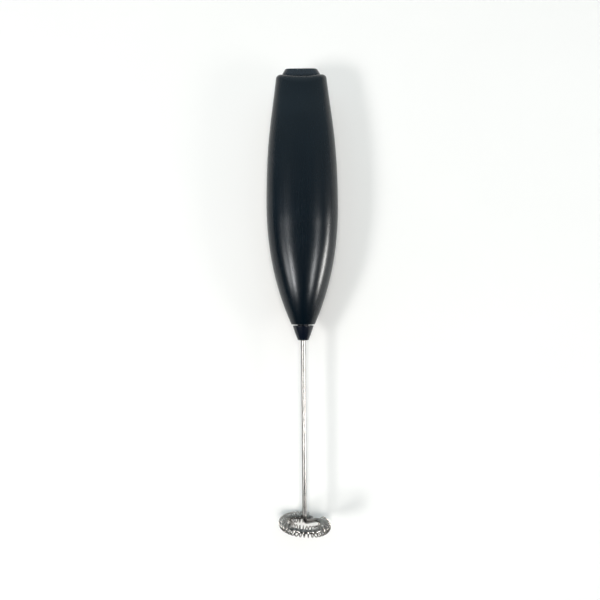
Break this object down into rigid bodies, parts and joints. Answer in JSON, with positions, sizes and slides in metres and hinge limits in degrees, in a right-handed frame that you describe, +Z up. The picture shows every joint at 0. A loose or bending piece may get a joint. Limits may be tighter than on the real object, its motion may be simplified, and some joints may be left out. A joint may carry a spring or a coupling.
{
  "type": "milk frother",
  "caption": "Hand-held battery milk frother: torpedo-shaped handle with an oval push button, a thin steel rod and a spring-wound ring whisk, lying on its back.",
  "frame": {"origin": "on the surface that the frother lies on, under the middle of its bounding box", "axes": "+Y along the handle towards the push button, +Z up, out of the handle's front shell, +X across the handle"},
  "size_m": [0.0356, 0.2309, 0.0269],
  "materials": {
    "shell": "satin",
    "button": "satin",
    "frame": "matte",
    "switch_body": "satin",
    "white_plastic": "satin",
    "stainless": "polished",
    "spring_steel": "satin",
    "zinc_steel": "satin",
    "contact": "satin",
    "copper": "satin",
    "bronze": "matte",
    "ferrite": "matte",
    "cell": "satin",
    "lead_red": "satin",
    "lead_black": "satin"
  },
  "bodies": {
    "handle": {"front_shell": "shell", "switch_housing": "switch_body", "switch_terminal_left": "contact", "switch_terminal_right": "contact", "button_spring": "spring_steel", "battery_tray": "frame", "cell_left": "cell", "cell_right": "cell", "positive_contact": "contact", "negative_contact": "contact", "upper_spring": "contact", "lower_spring": "contact", "bridge_plate": "contact", "motor_can": "zinc_steel", "motor_end_cap": "white_plastic", "motor_magnet_left": "ferrite", "motor_magnet_right": "ferrite", "motor_bush_front": "bronze", "motor_bush_rear": "bronze", "motor_brush_left": "copper", "motor_brush_right": "copper", "motor_strap": "zinc_steel", "tray_screw_left": "zinc_steel", "tray_screw_right": "zinc_steel", "strap_screw_left": "zinc_steel", "strap_screw_right": "zinc_steel", "battery_switch_lead": "lead_red", "switch_motor_lead": "lead_red", "battery_motor_lead": "lead_black"},
    "cover": {"rear_cover": "shell"},
    "button": {"button_cap": "button", "switch_plunger": "white_plastic"},
    "whisk": {"whisk_hub": "button", "whisk_rod": "stainless", "whisk_coil": "stainless", "motor_shaft": "stainless", "commutator": "copper", "rotor_core": "zinc_steel", "rotor_winding_1": "copper", "rotor_winding_2": "copper", "rotor_winding_3": "copper"}
  },
  "joints": [
    {"name": "whisk_spin", "type": "hinge", "parent": "handle", "child": "whisk", "pos_m": [0, -0.01968, 0.01335], "axis": [0, -1, 0], "continuous": true},
    {"name": "button_press", "type": "slide", "parent": "handle", "child": "button", "axis": [0, -1, 0], "range_m": [0, 0.002], "stiffness_N_per_m": 500, "springref_m": -0.003, "deforming": ["button_spring"]},
    {"name": "cover_open", "type": "hinge", "parent": "handle", "child": "cover", "pos_m": [0, 0.10423, 0.0036], "axis": [1, 0, 0], "range_deg": [0, 20]}
  ]
}
